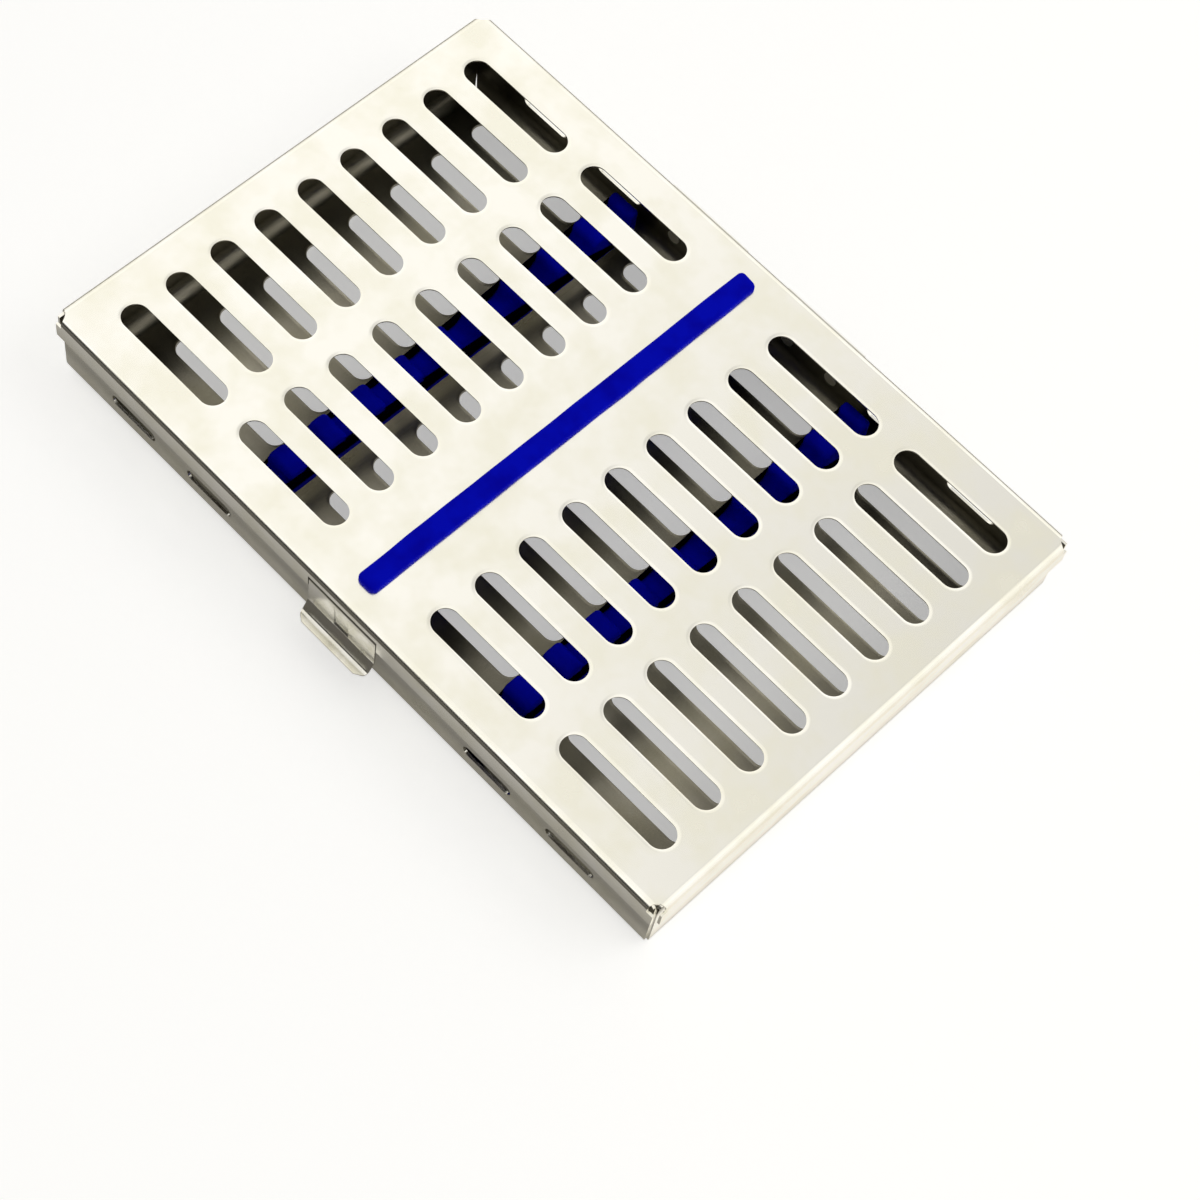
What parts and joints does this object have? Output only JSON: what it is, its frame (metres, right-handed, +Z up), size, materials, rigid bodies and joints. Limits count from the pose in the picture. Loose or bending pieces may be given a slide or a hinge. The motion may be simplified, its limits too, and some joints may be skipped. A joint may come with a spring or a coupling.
{
  "type": "instrument cassette",
  "caption": "Flat slotted steel instrument cassette: folded tray with silicone combs, hinged slotted lid with a silicone hold-down strip, and a spring thumb latch.",
  "frame": {"origin": "on the surface that the closed cassette stands on, under its middle", "axes": "+X along the long side, +Y from the latch side to the hinge side, +Z up"},
  "size_m": [0.203, 0.148, 0.0265],
  "materials": {
    "steel": "electropolished",
    "spring_steel": "polished",
    "hinge_steel": "satin",
    "silicone": "matte moulded"
  },
  "bodies": {
    "base": {"base_tray": "steel", "comb_rail_left": "steel", "comb_rail_right": "steel", "comb_rail_rivets_left": "steel", "comb_rail_rivets_right": "steel", "comb_left": "silicone", "comb_right": "silicone", "hinge_base_leaf_left": "hinge_steel", "hinge_base_leaf_right": "hinge_steel", "hinge_base_rivets": "hinge_steel", "hinge_pin_left": "hinge_steel", "hinge_pin_right": "hinge_steel"},
    "lid": {"lid_plate": "steel", "holddown_strip": "silicone", "holddown_brace": "steel", "hinge_lid_leaf_left": "hinge_steel", "hinge_lid_leaf_right": "hinge_steel", "hinge_lid_rivets": "hinge_steel"},
    "latch": {"latch_plate": "spring_steel"}
  },
  "joints": [
    {"name": "lid_hinge", "type": "hinge", "parent": "base", "child": "lid", "pos_m": [0, 0.0719, 0.0156], "axis": [-1, 0, 0], "range_deg": [0, 180]},
    {"name": "latch_spring", "type": "hinge", "parent": "lid", "child": "latch", "pos_m": [0, -0.0698, 0.02166], "axis": [-1, 0, 0], "range_deg": [0, 6], "stiffness_Nm_per_rad": 1}
  ]
}
